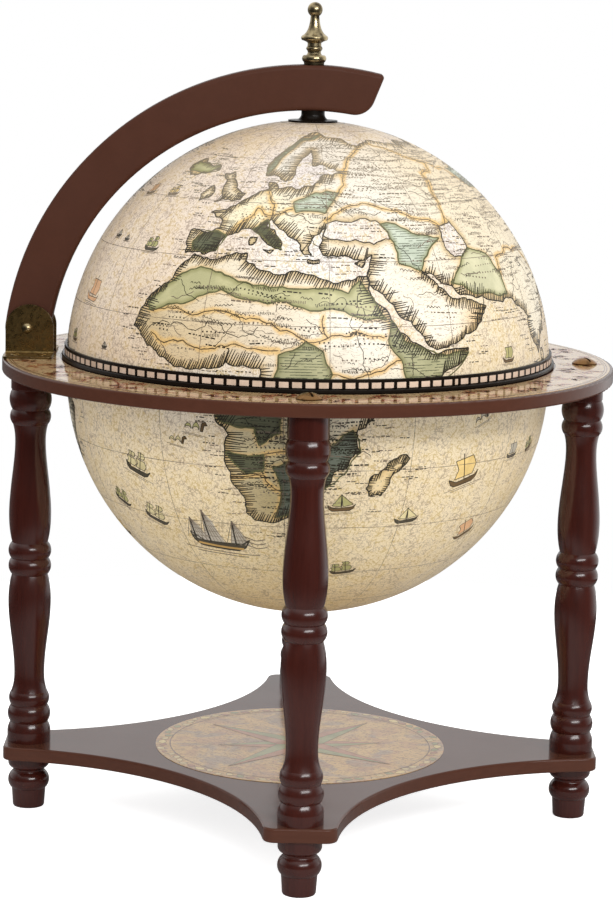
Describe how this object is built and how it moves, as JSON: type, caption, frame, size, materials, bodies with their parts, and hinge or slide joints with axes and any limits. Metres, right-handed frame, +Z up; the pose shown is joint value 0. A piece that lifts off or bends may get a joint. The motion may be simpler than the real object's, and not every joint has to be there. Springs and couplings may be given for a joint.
{
  "type": "globe bar",
  "caption": "Tabletop globe bar: the upper half globe tilts back on a quarter meridian arm over a bowl for a bottle and glasses, in a ring on turned legs with a shelf.",
  "frame": {"origin": "on the floor, midway between the four feet, on the globe's upright axis", "axes": "+Z up, -X towards the hinge of the meridian arm, -Y towards the front leg"},
  "size_m": [0.4199, 0.42, 0.5653],
  "materials": {
    "lacquered_board": "brown satin lacquer",
    "lacquered_arm": "brown satin lacquer",
    "stained_wood": "dark mahogany stain, gloss lacquer",
    "map_shell": "printed antique map under lacquer",
    "lining_paper": "plain parchment paper",
    "ring_paper": "printed parchment under lacquer",
    "shelf_paper": "printed parchment under lacquer",
    "antique_brass": "antiqued",
    "bright_brass": "antiqued, rubbed bright on the high spots",
    "insert_brass": "plain",
    "zinc_steel": "zinc plated",
    "black_plastic": "satin black",
    "band_plastic": "black with cream squares",
    "white_nylon": "plain",
    "tray_board": "brown satin lacquer"
  },
  "bodies": {
    "stand": {"shelf_board": "lacquered_board", "shelf_print": "shelf_paper", "foot_front": "stained_wood", "foot_right": "stained_wood", "foot_back": "stained_wood", "foot_left": "stained_wood", "leg_front": "stained_wood", "leg_right": "stained_wood", "leg_back": "stained_wood", "leg_left": "stained_wood", "hanger_bolts": "zinc_steel", "leg_inserts": "insert_brass", "ring_board": "lacquered_board", "ring_print": "ring_paper", "ring_bolts": "antique_brass", "hinge_leg_bolt": "antique_brass", "front_hinge_plate": "antique_brass", "rear_hinge_plate": "antique_brass", "hinge_screws": "antique_brass", "pivot_pin": "bright_brass", "pivot_washers": "white_nylon"},
    "arm": {"meridian_arm": "lacquered_arm", "finial": "bright_brass", "spindle_rod": "zinc_steel", "spindle_collar": "black_plastic", "spindle_nut": "bright_brass"},
    "lid": {"lid_shell": "map_shell", "lid_lining": "lining_paper", "lid_band": "band_plastic", "lid_inner_ring": "black_plastic", "crown_washer": "zinc_steel"},
    "bowl": {"bowl_shell": "map_shell", "bowl_lining": "lining_paper", "bowl_rim": "black_plastic", "glass_tray": "tray_board", "tray_floor": "tray_board", "bottle_rest": "tray_board"}
  },
  "joints": [
    {"name": "arm_tilt", "type": "hinge", "parent": "stand", "child": "arm", "pos_m": [-0.1928, 0, 0.3405], "axis": [0, -1, 0], "range_deg": [0, 110]},
    {"name": "lid_spin", "type": "hinge", "parent": "arm", "child": "lid", "pos_m": [0, 0, 0.4813], "axis": [0, 0, 1], "continuous": true},
    {"name": "bowl_spin", "type": "hinge", "parent": "stand", "child": "bowl", "pos_m": [0, 0, 0.3217], "axis": [0, 0, 1], "continuous": true}
  ]
}
